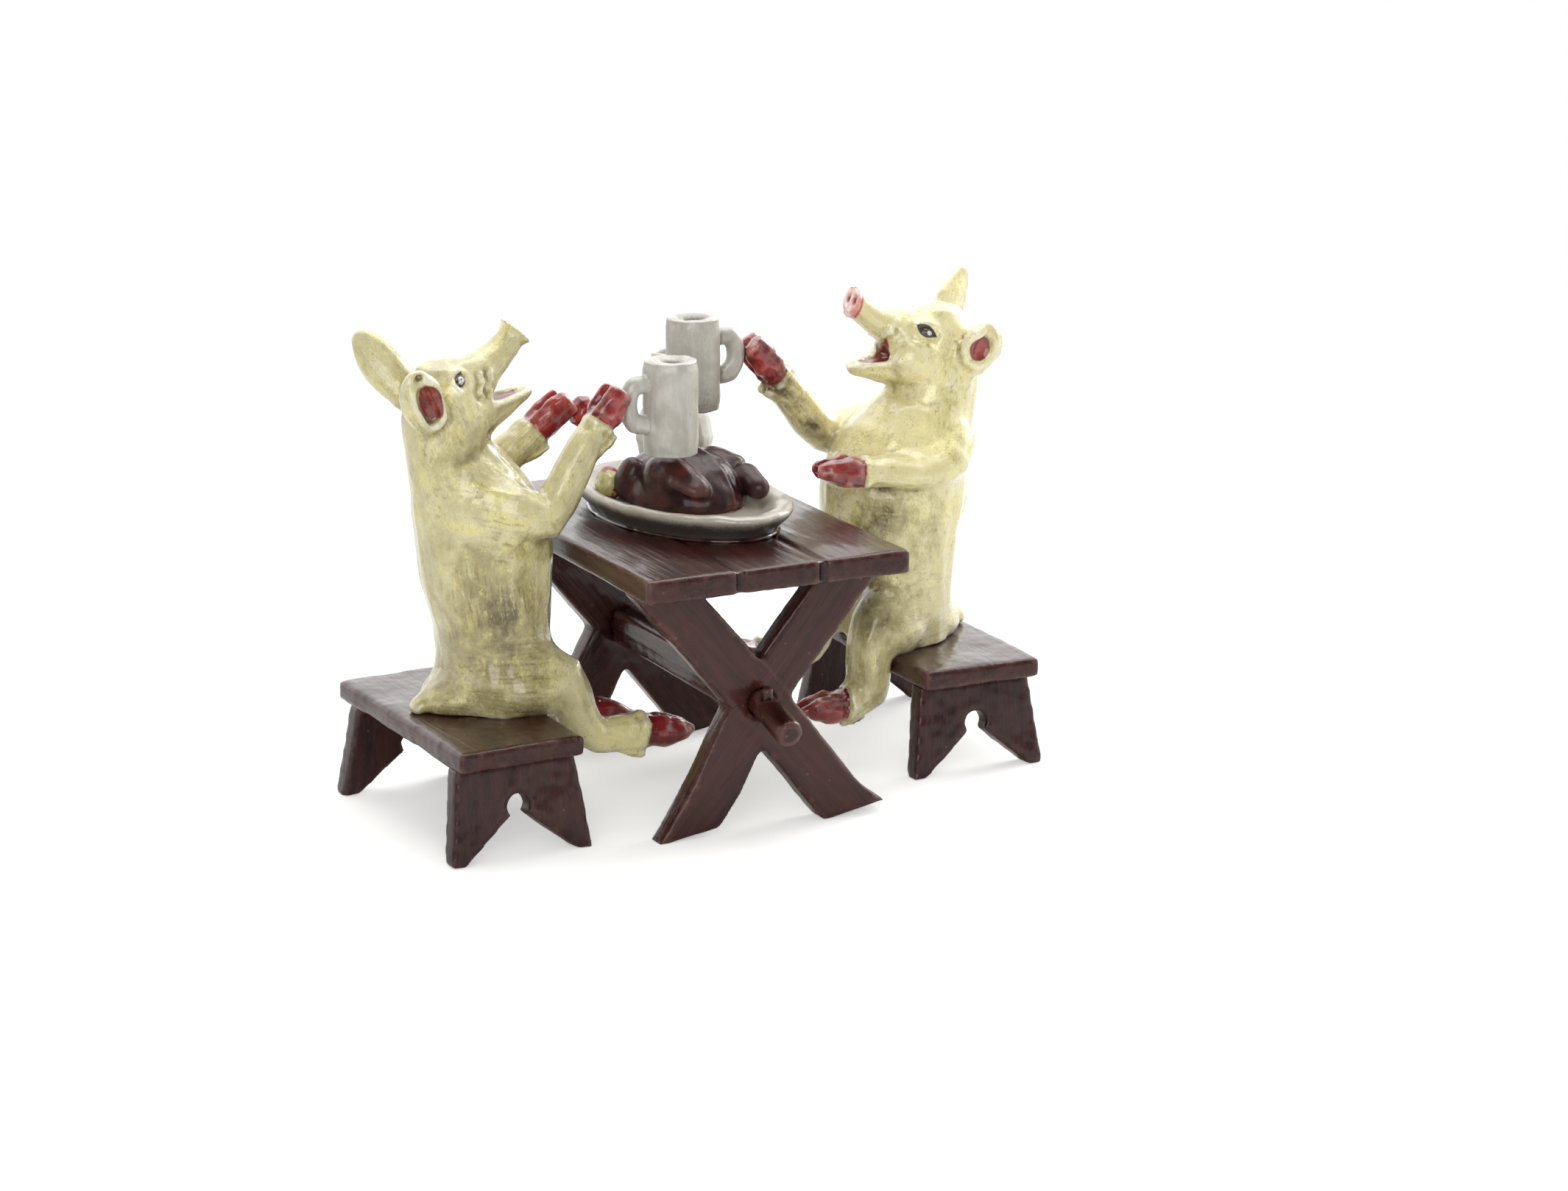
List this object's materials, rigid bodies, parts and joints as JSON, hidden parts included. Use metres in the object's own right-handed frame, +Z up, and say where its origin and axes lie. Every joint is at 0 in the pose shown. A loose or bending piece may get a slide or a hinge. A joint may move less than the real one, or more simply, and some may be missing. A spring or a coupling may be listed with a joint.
{
  "type": "painted bronze pig group",
  "caption": "Cold-painted bronze ornament: pigs on plank benches toast with mugs across a trestle table set with a roast on an oval platter and a jug.",
  "frame": {"origin": "middle of the group's footprint, on the floor", "axes": "+Z up, +X from the left diner to the right diner, -Y towards the side seen in the picture"},
  "size_m": [0.1003, 0.0652, 0.0707],
  "materials": {
    "wood_paint": "cold-painted dark mahogany with brushed grain, worn at the edges, glossy varnish",
    "pig_paint": "cold-painted cream over bronze with olive wash in the hollows and crimson trotters, glossy varnish",
    "pewter_paint": "pale pewter-grey paint with fine dark specks",
    "dish_paint": "darker pewter-grey paint, rubbed bright on the rim",
    "glaze_paint": "thick glossy brown glaze paint",
    "greens_paint": "mottled olive-cream paint",
    "clay_paint": "off-white paint with a pinkish tint",
    "red_paint": "glossy crimson paint",
    "brass": "turned brass, unpainted"
  },
  "bodies": {
    "table_group": {"table_top": "wood_paint", "front_trestle": "wood_paint", "rear_trestle": "wood_paint", "stretcher": "wood_paint", "front_peg": "wood_paint", "rear_peg": "wood_paint", "jug": "clay_paint", "platter": "dish_paint", "roast": "glaze_paint", "garnish_left": "greens_paint", "garnish_right": "greens_paint", "garnish_back": "red_paint"},
    "left_diner": {"left_bench_seat": "wood_paint", "left_bench_front_leg": "wood_paint", "left_bench_rear_leg": "wood_paint", "left_pig_body": "pig_paint", "left_pig_front_arm": "pig_paint", "left_pig_rear_arm": "pig_paint", "left_seat_screw": "brass", "left_mug": "pewter_paint", "left_apple": "red_paint"},
    "right_diner": {"right_bench_seat": "wood_paint", "right_bench_front_leg": "wood_paint", "right_bench_rear_leg": "wood_paint", "right_pig_body": "pig_paint", "right_pig_front_arm": "pig_paint", "right_pig_rear_arm": "pig_paint", "right_seat_screw": "brass", "right_mug": "pewter_paint"}
  },
  "joints": [
    {"name": "left_diner_slide", "type": "slide", "parent": "table_group", "child": "left_diner", "axis": [-1, 0, 0], "range_m": [0, 0.05]},
    {"name": "right_diner_slide", "type": "slide", "parent": "table_group", "child": "right_diner", "axis": [1, 0, 0], "range_m": [0, 0.05]}
  ]
}
